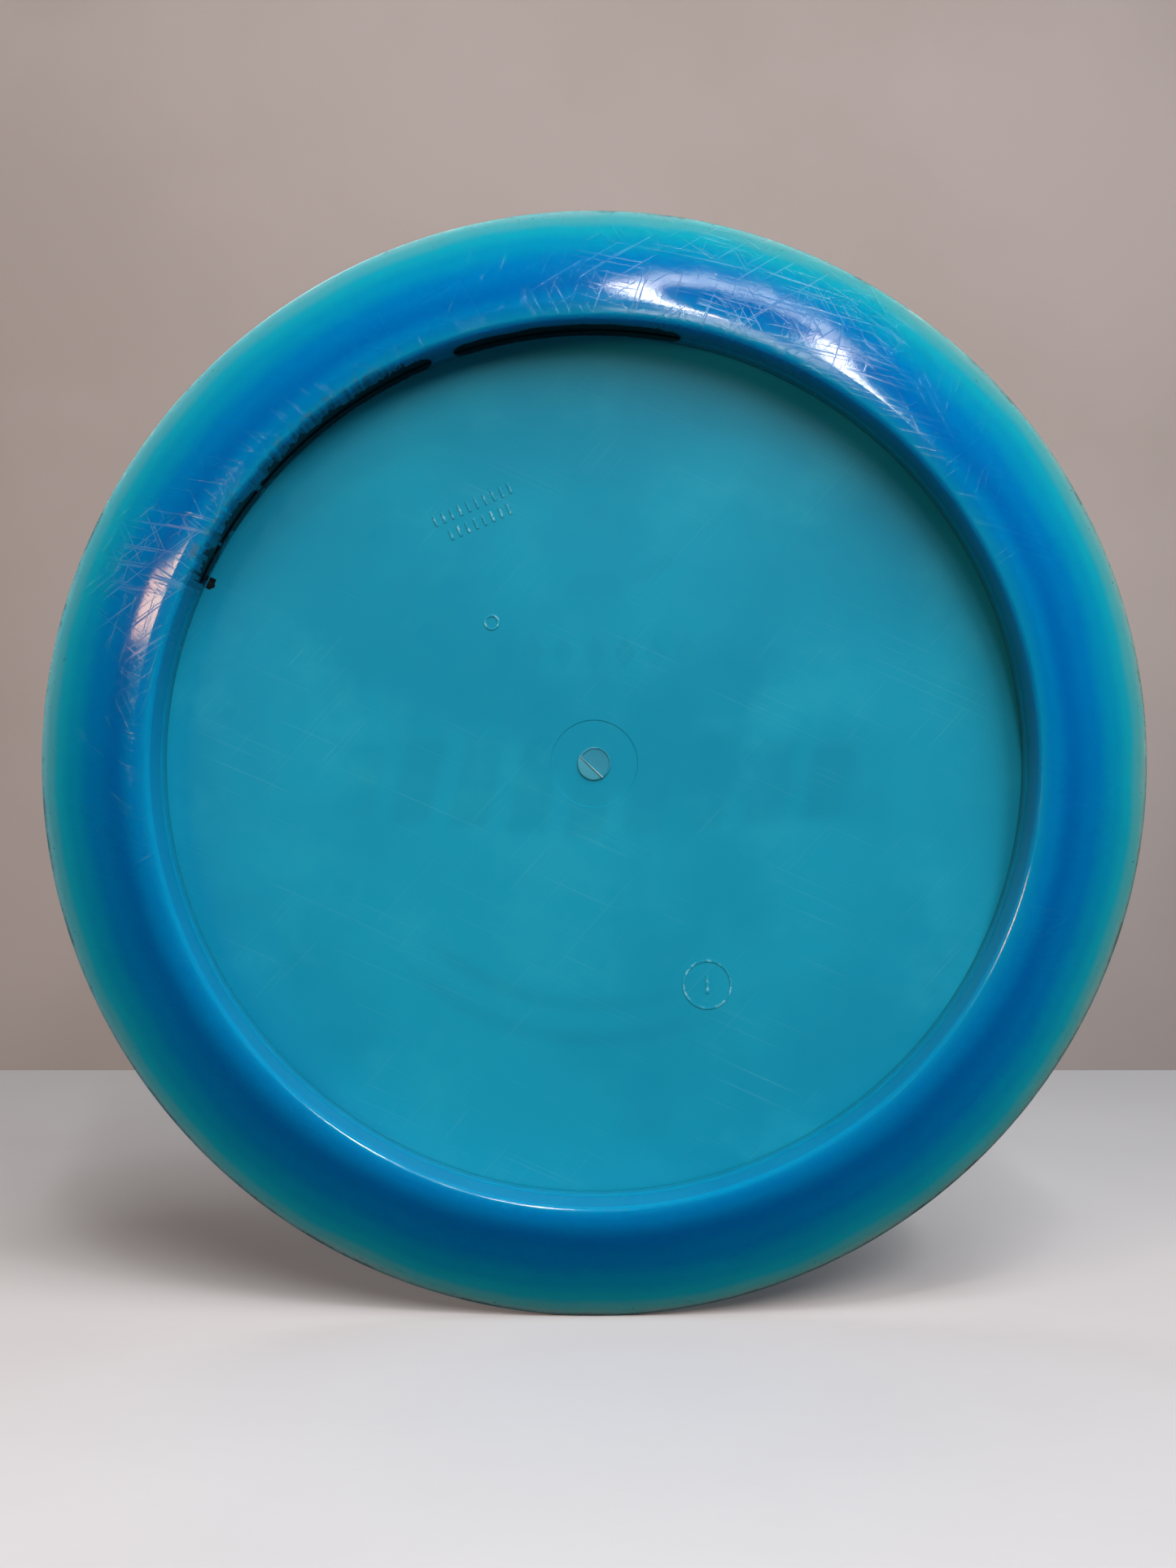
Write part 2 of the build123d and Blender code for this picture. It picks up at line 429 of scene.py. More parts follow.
plateFinish = {
    "colour": "0a90b0",
    "cloud": "0486a7",
    "cloudScale": 0.022,
    "clouds": (0.35, 0.65),
    "pale": "1998b4",
    "paleScale": 0.05,
    "palePatches": (0.5, 0.75, 0.0, 0.5),
    "scratchSets": (
        (24, 18.0, 0.10, 0.70, 0.04),
        (-48, 14.0, 0.10, 0.71, 0.05),
    ),
    "scratchTint": ("8fd0e0", 0.07),
    "roughness": 0.29,
    "haze": (0.2, 0.1),
    "relief": ((0.05, 2.0, 0.5, 0.0003, 0.35), (3.0, 3.0, 0.6, 0.00001, 0.6)),
    "specular": 0.25,
}

# the stamp on the top as it shows through from below, in millimetres across and up
stampShadow = {
    "soft": 2.6,
    "depth": 0.10,
    "tone": "05506c",
    "faintScale": 0.035,
    "faint": (0.38, 0.62, 0.15, 1.0),
    "band": {"bars": 9, "pitch": 11.4, "width": 7.6, "height": 22.0, "fall": 1.9, "lean": 12.0, "drop": 3.5},
    "row": {"count": 7, "pitch": 6.0, "width": 4.4, "height": 7.0, "rise": 21.5, "fade": (0.8, 1.2)},
    "crest": {"rise": 33, "hub": 5.2, "rays": 7, "spread": 132, "rayWidth": 2.6, "start": 8.5, "end": 17},
    "sweep": {"radii": (47.0, 53.5), "width": 3.0, "spread": 84.0, "endSoft": 0.02},
}


def repeated(tree, value, pitch):
    # which repeat this place belongs to, and how far it lies from that repeat's middle
    steps = calc(tree, "DIVIDE", value, pitch)
    number = calc(tree, "ROUND", steps)
    return number, calc(tree, "MULTIPLY", calc(tree, "SUBTRACT", steps, number), pitch)


def bandShadow(tree, place, band, soft):
    height = calc(tree, "ADD", place["z"], band["drop"])
    lean = calc(tree, "MULTIPLY", height, math.tan(math.radians(band["lean"])))
    number, across = repeated(tree, calc(tree, "SUBTRACT", place["x"], lean), band["pitch"])
    count = calc(tree, "ABSOLUTE", number)
    tall = calc(tree, "MULTIPLY_ADD", count, -band["fall"] / 2, band["height"] / 2)
    over = calc(tree, "SUBTRACT", calc(tree, "ABSOLUTE", height), tall)
    return allOf(
        tree,
        inside(tree, across, band["width"] / 2, soft),
        between(tree, over, -soft / 2, soft / 2, 1.0, 0.0),
        calc(tree, "LESS_THAN", count, band["bars"] / 2),
    )


def rowShadow(tree, place, row):
    number, across = repeated(tree, place["x"], row["pitch"])
    height = calc(tree, "ABSOLUTE", calc(tree, "SUBTRACT", place["z"], row["rise"]))
    sideways = calc(tree, "DIVIDE", calc(tree, "ABSOLUTE", across), row["width"] / 2)
    sides = calc(tree, "ADD", sideways, calc(tree, "DIVIDE", height, row["height"] / 2))
    return allOf(
        tree,
        between(tree, sides, *row["fade"], 1.0, 0.0),
        calc(tree, "LESS_THAN", calc(tree, "ABSOLUTE", number), row["count"] / 2),
    )


def crestShadow(tree, place, crest, soft):
    height = calc(tree, "SUBTRACT", place["z"], crest["rise"])
    reach = distance(tree, place["x"], height)
    step = math.radians(crest["spread"] / (crest["rays"] - 1))
    number, aside = repeated(tree, calc(tree, "ARCTAN2", place["x"], height), step)
    across = calc(tree, "MULTIPLY", reach, calc(tree, "SINE", aside))
    middle = (crest["start"] + crest["end"]) / 2
    rays = allOf(
        tree,
        inside(tree, across, crest["rayWidth"] / 2, soft),
        inside(tree, calc(tree, "SUBTRACT", reach, middle), (crest["end"] - crest["start"]) / 2, soft),
        calc(tree, "LESS_THAN", calc(tree, "ABSOLUTE", number), crest["rays"] / 2),
    )
    hub = allOf(tree, inside(tree, reach, crest["hub"], soft), between(tree, height, -soft / 2, soft / 2))
    return calc(tree, "MAXIMUM", rays, hub)


def sweepShadow(tree, place, sweep, soft):
    down = calc(tree, "ARCTAN2", place["x"], calc(tree, "MULTIPLY", place["z"], -1.0))
    rings = [
        inside(tree, calc(tree, "SUBTRACT", place["radius"], radius), sweep["width"] / 2, soft)
        for radius in sweep["radii"]
    ]
    ends = inside(tree, down, math.radians(sweep["spread"] / 2), sweep["endSoft"])
    return allOf(tree, strongest(tree, *rings), ends)


def paintPlate(settings, stamp):
    material, tree, shader = newMaterial("platePlastic")
    place = discPlaces(tree)
    soft = stamp["soft"]
    clouds = between(tree, grain(tree, place["coords"], settings["cloudScale"], 3.0), *settings["clouds"])
    colour = blend(tree, clouds, tone(settings["cloud"]), tone(settings["colour"]))
    patches = grain(tree, place["coords"], settings["paleScale"], 4.0, 0.6)
    colour = blend(tree, between(tree, patches, *settings["palePatches"]), colour, tone(settings["pale"]))
    shadow = strongest(
        tree,
        bandShadow(tree, place, stamp["band"], soft),
        rowShadow(tree, place, stamp["row"]),
        crestShadow(tree, place, stamp["crest"], soft),
        sweepShadow(tree, place, stamp["sweep"], soft),
    )
    underneath = calc(tree, "LESS_THAN", place["facing"], 0.0)
    faint = between(tree, grain(tree, place["coords"], stamp["faintScale"], 3.0), *stamp["faint"])
    colour = blend(tree, allOf(tree, shadow, underneath, faint, stamp["depth"]), colour, tone(stamp["tone"]))
    code, share = settings["scratchTint"]
    lines = calc(tree, "MULTIPLY", scratches(tree, place, settings["scratchSets"]), share)
    tree.links.new(blend(tree, lines, colour, tone(code)), shader.inputs["Base Color"])
    scale, share = settings["haze"]
    haze = grain(tree, place["coords"], scale, 4.0, 0.6)
    tree.links.new(calc(tree, "MULTIPLY_ADD", haze, share, settings["roughness"]), shader.inputs["Roughness"])
    tree.links.new(relief(tree, place, settings["relief"]), shader.inputs["Normal"])
    shader.inputs["IOR"].default_value = plasticIndex
    shader.inputs["Specular IOR Level"].default_value = settings["specular"]
    return material


markFinish = {
    "pale": "63b4c8",
    "fleckScale": 0.9,
    "flecks": (0.50, 0.62),
    "roughness": (0.12, 0.3),  # what a fleck adds, and what there is without one
    "relief": ((4.0, 3.0, 0.5, 0.00003, 0.7),),
}


def paintMark(settings):
    # plate plastic on its small raised marks, pale only in flecks where the edges are worn
    material, tree, shader = newMaterial("markPlastic")
    place = discPlaces(tree)
    fleck = between(tree, grain(tree, place["coords"], settings["fleckScale"], 4.0, 0.7), *settings["flecks"])
    colour = blend(tree, fleck, tone(plateFinish["colour"]), tone(settings["pale"]))
    tree.links.new(colour, shader.inputs["Base Color"])
    tree.links.new(calc(tree, "MULTIPLY_ADD", fleck, *settings["roughness"]), shader.inputs["Roughness"])
    tree.links.new(relief(tree, place, settings["relief"]), shader.inputs["Normal"])
    shader.inputs["IOR"].default_value = plasticIndex
    return material


# the gate: the cut end of the sprue, half of it standing and half dished
gateCut = {
    "segments": 96,
    "radius": 3.2,
    "thickness": 0.2,
    "ridgeTurn": -43.0,  # of the cut edge, from level
    "ridgeOffset": 0.7,  # how far the cut edge lies below the middle
    "ridgeWidth": 0.28,
    # each part of the front goes up or down in steps: how much of its size is kept, and the rise
    "ridge": ((1.0, 0.26), (0.96, 0.06)),
    "standing": ((1.0, 0.08), (0.97, 0.05), (0.75, 0.03)),
    "dish": ((1.0, 0.06), (0.97, 0.04), (0.90, 0.0), (0.95, -0.14), (0.6, -0.03)),
}
gateFinish = {
    "frosty": "3793ab",
    "dark": "1b7f9b",
    "ridge": "a4cfd9",
    "halfSoft": 0.1,
    "fleckScale": 2.2,
    "flecks": (0.4, 0.7, 0.0, 0.35),
    # the paler lower right end of the cut edge is a painted highlight, over a pale torn edge
    "tornEdgeAndHighlight": (-2.0, 1.8, 0.1, 0.9),  # along the cut edge: from here to there, and how pale at each end
    "roughness": (0.2, 0.32),
    "relief": (0.00004, 0.8),
}


def paintGate(settings, cut):
    # the standing half is frosty where it was cut, the other half darker, with a pale torn edge between them
    # whose paleness grows towards its lower right end as a painted highlight where the ridge catches the
    # light
    material, tree, shader = newMaterial("gatePlastic")
    place = discPlaces(tree)
    turn, soft = math.radians(cut["ridgeTurn"]), settings["halfSoft"]
    upwards = calc(tree, "MULTIPLY", place["z"], math.cos(turn))
    across = calc(tree, "ADD", calc(tree, "MULTIPLY", place["x"], -math.sin(turn)), upwards)
    across = calc(tree, "ADD", across, cut["ridgeOffset"])
    upwards = calc(tree, "MULTIPLY", place["z"], math.sin(turn))
    along = calc(tree, "ADD", calc(tree, "MULTIPLY", place["x"], math.cos(turn)), upwards)
    fleck = grain(tree, place["coords"], settings["fleckScale"], 4.0, 0.65)
    half = between(tree, across, -soft, soft)
    colour = blend(tree, half, tone(settings["frosty"]), tone(settings["dark"]))
    colour = blend(tree, between(tree, fleck, *settings["flecks"]), colour, tone(plateFinish["colour"]))
    edge = calc(tree, "ADD", across, cut["ridgeWidth"] / 2)
    tornEdgeAndHighlight = inside(tree, edge, cut["ridgeWidth"] / 2, soft)
    # paler towards the lower right end of the edge: a painted highlight where the ridge catches the light
    tornEdgeAndHighlight = calc(tree, "MULTIPLY", tornEdgeAndHighlight, between(tree, along, *settings["tornEdgeAndHighlight"]))
    tree.links.new(blend(tree, tornEdgeAndHighlight, colour, tone(settings["ridge"])), shader.inputs["Base Color"])
    tree.links.new(calc(tree, "MULTIPLY_ADD", fleck, *settings["roughness"]), shader.inputs["Roughness"])
    tree.links.new(bump(tree, fleck, *settings["relief"]), shader.inputs["Normal"])
    shader.inputs["IOR"].default_value = plasticIndex
    return material


foilFinish = {
    "driftScale": 0.03,
    "driftRange": (0.3, 0.7),
    "tones": ((0.3, "3a5468"), (0.5, "4d7186"), (0.7, "5b6f8c")),
    "pinholeScale": 0.55,
    "pinholes": (0.58, 0.66),
    "rubs": {"turn": -18, "stretch": 16, "scale": 0.6, "width": 0.012, "share": 0.8},
    "metallic": (-0.6, 0.65),  # what wear adds, and what there is without it
    "roughness": (0.1, 0.3),
    "relief": ((1.5, 3.0, 0.5, 0.00002, 0.5),),
}


def paintFoil(settings):
    # hot-stamped foil: dark and metallic, with pinholes and rubbed patches
    material, tree, shader = newMaterial("stampFoil")
    place = discPlaces(tree)
    drift = grain(tree, place["coords"], settings["driftScale"], 2.0)
    colour = ramp(tree, drift, *settings["driftRange"], settings["tones"])
    holes = grain(tree, place["coords"], settings["pinholeScale"], 5.0, 0.7)
    holes = between(tree, holes, *settings["pinholes"])
    rubs = settings["rubs"]
    coords = turned(tree, place["coords"], rubs["turn"], rubs["stretch"])
    lines = hairlines(tree, coords, rubs["scale"], rubs["width"])
    worn = strongest(tree, holes, calc(tree, "MULTIPLY", lines, rubs["share"]))
    tree.links.new(blend(tree, worn, colour, tone(plateFinish["colour"])), shader.inputs["Base Color"])
    tree.links.new(calc(tree, "MULTIPLY_ADD", worn, *settings["metallic"]), shader.inputs["Metallic"])
    tree.links.new(calc(tree, "MULTIPLY_ADD", worn, *settings["roughness"]), shader.inputs["Roughness"])
    tree.links.new(relief(tree, place, settings["relief"]), shader.inputs["Normal"])
    return material


inkFinish = {
    "thick": "02060c",
    "thin": "061c28",
    "thinScale": 0.9,
    "thinPatches": (0.45, 0.75),
    "roughness": (0.2, 0.35),
    "relief": ((2.2, 3.0, 0.5, 0.00003, 0.6),),
    "specular": 0.3,
}


def paintInk(settings):
    # dried marker: near black, thin and bluish where the pen ran dry
    material, tree, shader = newMaterial("markerInk")
    place = discPlaces(tree)
    thin = grain(tree, place["coords"], settings["thinScale"], 4.0, 0.6)
    thin = between(tree, thin, *settings["thinPatches"])
    colour = blend(tree, thin, tone(settings["thick"]), tone(settings["thin"]))
    tree.links.new(colour, shader.inputs["Base Color"])
    tree.links.new(calc(tree, "MULTIPLY_ADD", thin, *settings["roughness"]), shader.inputs["Roughness"])
    tree.links.new(relief(tree, place, settings["relief"]), shader.inputs["Normal"])
    shader.inputs["Specular IOR Level"].default_value = settings["specular"]
    return material


rimPlastic = paintRim(rimFinish)
platePlastic = paintPlate(plateFinish, stampShadow)
markPlastic = paintMark(markFinish)
gatePlastic = paintGate(gateFinish, gateCut)
stampFoil = paintFoil(foilFinish)
markerInk = paintInk(inkFinish)
print("materials ready")


# turning pieces on the disc's axis

def curveBetween(start, corner, end, steps):
    # a soft bend from start to end, heading for the corner at both ends
    places = []
    for step in range(1, steps + 1):
        t = step / steps
        shares = ((1 - t) ** 2, 2 * t * (1 - t), t * t)
        weighted = list(zip(shares, (start, corner, end)))
        places.append(tuple(sum(share * place[axis] for share, place in weighted) for axis in (0, 1)))
    return places


def arcAbout(centre, radius, start, end, steps):
    angles = [math.radians(start + (end - start) * step / steps) for step in range(1, steps + 1)]
    return [(centre[0] + radius * math.cos(a), centre[1] + radius * math.sin(a)) for a in angles]


def roundCorners(corners, size, steps=3):
    # straight runs through the corners, each inner corner rounded by a small bend
    places = [corners[0]]
    longest = 0.4  # share of a run that one bend may take
    for before, corner, after in zip(corners, corners[1:], corners[2:]):
        arms = []
        for other in (before, after):
            length = math.dist(corner, other)
            share = min(size, length * longest) / length
            arms.append(tuple(c + (o - c) * share for c, o in zip(corner, other)))
        places.append(arms[0])
        places.extend(curveBetween(arms[0], corner, arms[1], steps))
    places.append(corners[-1])
    return places


smoothAngle = math.radians(35)
weldDistance = 0.002 * mm


def turnSection(name, section, segments, closed=True):
    # a ring of edges is drawn at the section's first place and pulled through the rest, ring after ring
    bpy.ops.object.select_all(action="DESELECT")
    radius, height = section[0]
    start = (0, landDepth + height * mm, 0)
    bpy.ops.mesh.primitive_circle_add(
        vertices=segments, radius=radius * mm, location=start, rotation=(math.pi / 2, 0, 0)
    )
    piece = bpy.context.object
    piece.name = name
    piece.data.name = name
    bpy.ops.object.transform_apply(location=True, rotation=True, scale=True)
    bpy.ops.object.mode_set(mode="EDIT")
    bpy.ops.mesh.select_all(action="SELECT")
    for nextRadius, nextHeight in section[1:]:
        move = {"value": (0, (nextHeight - height) * mm, 0)}
        bpy.ops.mesh.extrude_edges_move(TRANSFORM_OT_translate=move)
        growth = nextRadius / radius
        bpy.ops.transform.resize(value=(growth, 1, growth), center_override=(0, 0, 0))
        radius, height = nextRadius, nextHeight
    bpy.ops.mesh.select_all(action="SELECT")
    bpy.ops.mesh.remove_doubles(threshold=weldDistance)
    if closed:
        bpy.ops.mesh.fill_holes(sides=0)
        bpy.ops.mesh.select_all(action="SELECT")
    bpy.ops.mesh.normals_make_consistent(inside=False)
    bpy.ops.object.mode_set(mode="OBJECT")
    return piece


def finishPiece(piece, material, node):
    bpy.ops.object.select_all(action="DESELECT")
    piece.select_set(True)
    bpy.context.view_layer.objects.active = piece
    bpy.ops.object.shade_smooth_by_angle(angle=smoothAngle)
    piece.data.materials.clear()
    piece.data.materials.append(material)
    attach(piece, "root")
    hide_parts(node)


# the rim

rimCut = {
    "segments": 288,
    "width": 22.6,
    "ledgeHeight": 11.6,
    "noseHeight": 8.0,
    "noseRadius": 1.1,
    "lowerSlope": 24.0,
    "upperSlope": 16.0,
    "landWidth": 2.0,
    "cornerRadius": 0.9,
    "stepHeight": 7.8,
    "step": 0.3,
    "ledgeWidth": 3.3,
    "grooveWidth": 1.1,
    "grooveDepth": 1.25,
    "seamBreak": 0.15,
    "edgeSoftness": 0.14,
    "underSteps": 44,
    "noseSteps": 12,
    "shoulderSteps": 28,
    "cornerSteps": 10,
}

dome = {"rise": 2.2, "thickness": 1.9}

outerRadius = discRadius / mm
wallRadius = outerRadius - rimCut["width"]
upperWall = wallRadius - rimCut["step"]
jointRadius = upperWall + rimCut["ledgeWidth"]
underRadius = (upperWall**2 + dome["rise"] ** 2) / (2 * dome["rise"])
topRadius = underRadius + dome["thickness"]


def domeHeight(radius, curve):
    centre = rimCut["ledgeHeight"] + dome["rise"] - underRadius
    return centre + math.sqrt(curve**2 - radius**2)


def rimSection(cut):
    lower, upper = math.radians(cut["lowerSlope"]), math.radians(cut["upperSlope"])
    nose, noseHeight = cut["noseRadius"], cut["noseHeight"]
    noseMiddle = (outerRadius - nose, noseHeight)
    noseFoot = (noseMiddle[0] + nose * math.sin(lower), noseHeight - nose * math.cos(lower))
    noseHead = (noseMiddle[0] + nose * math.sin(upper), noseHeight + nose * math.cos(upper))
    landOuter = (wallRadius + cut["cornerRadius"] + cut["landWidth"], 0)
    landInner = (wallRadius + cut["cornerRadius"], 0)
    underCorner = (noseFoot[0] - noseFoot[1] / math.tan(lower), 0)
    seam = jointRadius + cut["seamBreak"]
    seamHeight = domeHeight(seam, topRadius)
    fall = seam / math.sqrt(topRadius**2 - seam**2)
    slope = math.tan(upper)
    meet = (noseHead[1] - seamHeight + slope * noseHead[0] - fall * seam) / (slope - fall)
    shoulderCorner = (meet, seamHeight - fall * (meet - seam))
    ledge = cut["ledgeHeight"]
    grooveMiddle = upperWall + cut["ledgeWidth"] / 2
    grooveIn, grooveOut = grooveMiddle - cut["grooveWidth"] / 2, grooveMiddle + cut["grooveWidth"] / 2
    section = [landInner, ((landInner[0] + landOuter[0]) / 2, 0), landOuter]
    section += curveBetween(landOuter, underCorner, noseFoot, cut["underSteps"])
    section += arcAbout(noseMiddle, nose, cut["lowerSlope"] - 90, 90 - cut["upperSlope"], cut["noseSteps"])
    section += curveBetween(noseHead, shoulderCorner, (seam, seamHeight), cut["shoulderSteps"])
    section += [
        (jointRadius, domeHeight(jointRadius, topRadius) - cut["seamBreak"]),
        (jointRadius, ledge),
        (grooveOut, ledge),
        (grooveOut, ledge - cut["grooveDepth"]),
        (grooveIn, ledge - cut["grooveDepth"]),
        (grooveIn, ledge),
        (upperWall + cut["seamBreak"], ledge),
    ]
    wall = [
        (upperWall + cut["seamBreak"], ledge),
        (upperWall, ledge - cut["seamBreak"]),
        (upperWall, cut["stepHeight"] + cut["step"]),
        (wallRadius, cut["stepHeight"]),
        (wallRadius, cut["cornerRadius"]),
    ]
    section += roundCorners(wall, cut["edgeSoftness"])[1:]
    cornerMiddle = (landInner[0], cut["cornerRadius"])
    section += arcAbout(cornerMiddle, cut["cornerRadius"], 180, 270, cut["cornerSteps"])
    return section


rim = turnSection("rimBody", rimSection(rimCut), rimCut["segments"])
finishPiece(rim, rimPlastic, "rim")
print("rim turned:", len(rim.data.polygons), "faces")


# the flight plate

plateCut = {
    "segments": 288,
    "tongueWidth": 1.0,
    "tongueDepth": 1.2,
    "padRadius": 8.5,
    "padRecess": 0.08,
    "padEdge": 0.25,
    "padWall": 0.08,
    "padRings": (7.5, 4),
    "poleRadius": 0.3,
    "topRings": (2, 5, 9, 14, 20, 27, 34, 41, 48, 55, 61, 67, 72, 76, 79, 82, 84),
    "underRings": (81, 78, 74, 69, 63, 57, 50, 43, 36, 29, 22, 15, 11),
}


def plateSection(cut):
    ledge = rimCut["ledgeHeight"]
    pole, pad = cut["poleRadius"], cut["padRadius"]
    top = [(radius, domeHeight(radius, topRadius)) for radius in (pole, *cut["topRings"])]
    edge = jointRadius - rimCut["seamBreak"]
    tongueMiddle = upperWall + rimCut["ledgeWidth"] / 2
    tongueIn, tongueOut = tongueMiddle - cut["tongueWidth"] / 2, tongueMiddle + cut["tongueWidth"] / 2
    flange = [
        (edge, domeHeight(edge, topRadius)),
        (jointRadius, domeHeight(jointRadius, topRadius) - rimCut["seamBreak"]),
        (jointRadius, ledge),
        (tongueOut, ledge),
        (tongueOut, ledge - cut["tongueDepth"]),
        (tongueIn, ledge - cut["tongueDepth"]),
        (tongueIn, ledge),
        (upperWall, ledge),
    ]
    underRings = (*cut["underRings"], pad + cut["padEdge"], pad)
    under = [(radius, domeHeight(radius, underRadius)) for radius in underRings]
    padHeight = ledge + dome["rise"] + cut["padRecess"]
    foot = [(radius, padHeight) for radius in (pad - cut["padWall"], *cut["padRings"], pole)]
    return top + flange + under + foot


plate = turnSection("plateBody", plateSection(plateCut), plateCut["segments"])
finishPiece(plate, platePlastic, "flight_plate")
print("plate turned:", len(plate.data.polygons), "faces")


# the gate

def pickFaces(piece, wanted):
    bpy.ops.object.mode_set(mode="EDIT")
    bpy.ops.mesh.select_mode(type="FACE")
    bpy.ops.mesh.select_all(action="DESELECT")
    bpy.ops.object.mode_set(mode="OBJECT")
    for face in piece.data.polygons:
        face.select = wanted(face)
    bpy.ops.object.mode_set(mode="EDIT")


def applyModifier(piece, kind, **values):
    modifier = piece.modifiers.new(kind.lower(), kind)
    for name, value in values.items():
        setattr(modifier, name, value)
    bpy.ops.object.select_all(action="DESELECT")
    piece.select_set(True)
    bpy.context.view_layer.objects.active = piece
    bpy.ops.object.modifier_apply(modifier=modifier.name)


def makeGate(cut):
    turn = math.radians(cut["ridgeTurn"])
    across = Vector((-math.sin(turn), 0, math.cos(turn)))  # square to the cut edge, up and to the right
    foot = landDepth + (rimCut["ledgeHeight"] + dome["rise"] + plateCut["padRecess"]) * mm
    depth = cut["thickness"] * mm
    skin = 0.01 * mm  # faces this near the front belong to it
    bpy.ops.object.select_all(action="DESELECT")
    bpy.ops.mesh.primitive_cylinder_add(
        vertices=cut["segments"],
        radius=cut["radius"] * mm,
        depth=depth,
        location=(0, foot - depth / 2, 0),
        rotation=(math.pi / 2, 0, 0),
    )
    gate = bpy.context.object
    gate.name = gate.data.name = "gateButton"
    bpy.ops.object.transform_apply(location=True, rotation=True, scale=True)
    ridgeHigh = -cut["ridgeOffset"] * mm
    ridgeLow = ridgeHigh - cut["ridgeWidth"] * mm
    bpy.ops.object.mode_set(mode="EDIT")
    for place in (ridgeHigh, ridgeLow):
        bpy.ops.mesh.select_all(action="SELECT")
        bpy.ops.mesh.bisect(plane_co=across * place, plane_no=across)
    bpy.ops.object.mode_set(mode="OBJECT")
    front = foot - depth
    parts = {"ridge": (ridgeLow, ridgeHigh), "standing": (-1, ridgeLow), "dish": (ridgeHigh, 1)}
    for part, (low, high) in parts.items():
        pickFaces(gate, lambda face: face.center.y < front + skin and low < face.center.dot(across) < high)
        middle = sum((face.center for face in gate.data.polygons if face.select), Vector())
        for share, rise in cut[part]:
            bpy.ops.mesh.extrude_region_move(TRANSFORM_OT_translate={"value": (0, -rise * mm, 0)})
            bpy.ops.transform.resize(value=(share, 1, share), center_override=middle)
        bpy.ops.object.mode_set(mode="OBJECT")
    return gate


gate = makeGate(gateCut)
finishPiece(gate, gatePlastic, "gate_stub")
print("gate cut:", len(gate.data.polygons), "faces")


# marker ink on the inner wall

inkPen = {
    "cells": 1440,  # steps round the whole wall
    "step": 0.28,
    "lift": 0.02,
    "thickness": 0.05,
    "cornerArc": (276, 180, 7),
    "low": 4.4,  # the stroke's edges, measured up the wall from the land
    "high": 10.8,
    "overLand": 1.2,  # how far ink can lie past the rim's corner, and on the plate
    "overPlate": 2.6,
    "roundEnd": 2.6,
    "wallMargin": 0.1,
    "spotGrain": 1.3,
    "fewest": 8,  # faces in the smallest patch that stays
    # the edge wanders slowly, and quickly by a smaller share
    "slow": 0.16,
    "quick": 0.7,
    "quickShare": 0.6,
    "highShare": 0.6,
    "bristle": {"along": 1.9, "up": 0.25, "bias": 0.3, "reach": 9.0},
    "patch": {"along": 0.11, "bias": 0.15, "nearEnd": 16},
}

inkStrokes = {
    "inkLong": {
        "node": "ink_stroke_long",
        "start": 112.0,
        "end": 155.6,
        "seed": 4.0,
        "ragged": 6.5,
        "inwards": 1.4,
        "stray": True,
        # spots on the plate: past the end, in from the wall, size, and how much the size wobbles
        "spots": ((-1.0, 0.5, 1.25, 0.35), (0.7, 1.7, 0.42, 0.175)),
    },
    "inkShort": {
        "node": "ink_stroke_short",
        "start": 78.5,
        "end": 109.0,
        "seed": 9.0,
        "ragged": 0.9,
        "inwards": 0.4,
        "stray": False,
        "spots": (),
    },
}


def inkPath(pen):
    # from the land's corner, over the wall and its step, and on to the plate
    lift = pen["lift"]
    corner = (wallRadius + rimCut["cornerRadius"], rimCut["cornerRadius"])
    path = [(corner[0] + pen["overLand"], -lift)]
    path += arcAbout(corner, rimCut["cornerRadius"] + lift, *pen["cornerArc"])
    stepHeight, step = rimCut["stepHeight"], rimCut["step"]
    path.append((wallRadius - lift, stepHeight - lift))
    path.append((upperWall - lift, stepHeight + step - lift))
    path.append((upperWall - lift, rimCut["ledgeHeight"] - lift))
    inner = upperWall - pen["overPlate"]
    path.append((inner, domeHeight(inner, underRadius) - lift))
    places = [path[0]]
    for start, end in zip(path, path[1:]):
        count = max(1, round(math.dist(start, end) / pen["step"]))
        for number in range(1, count + 1):
            places.append(tuple(a + (b - a) * number / count for a, b in zip(start, end)))
    return places


def spotted(along, radius, pen, stroke):
    # whether this place on the plate lies in one of the stroke's spots
    end, inwards = math.radians(stroke["end"]) * wallRadius, upperWall - radius
    wobble = noise.noise(Vector((along * pen["spotGrain"], radius * pen["spotGrain"], stroke["seed"])))
    return any(
        math.hypot(along - (end + past), inwards - far) < size + share * wobble
        for past, far, size, share in stroke["spots"]
    )


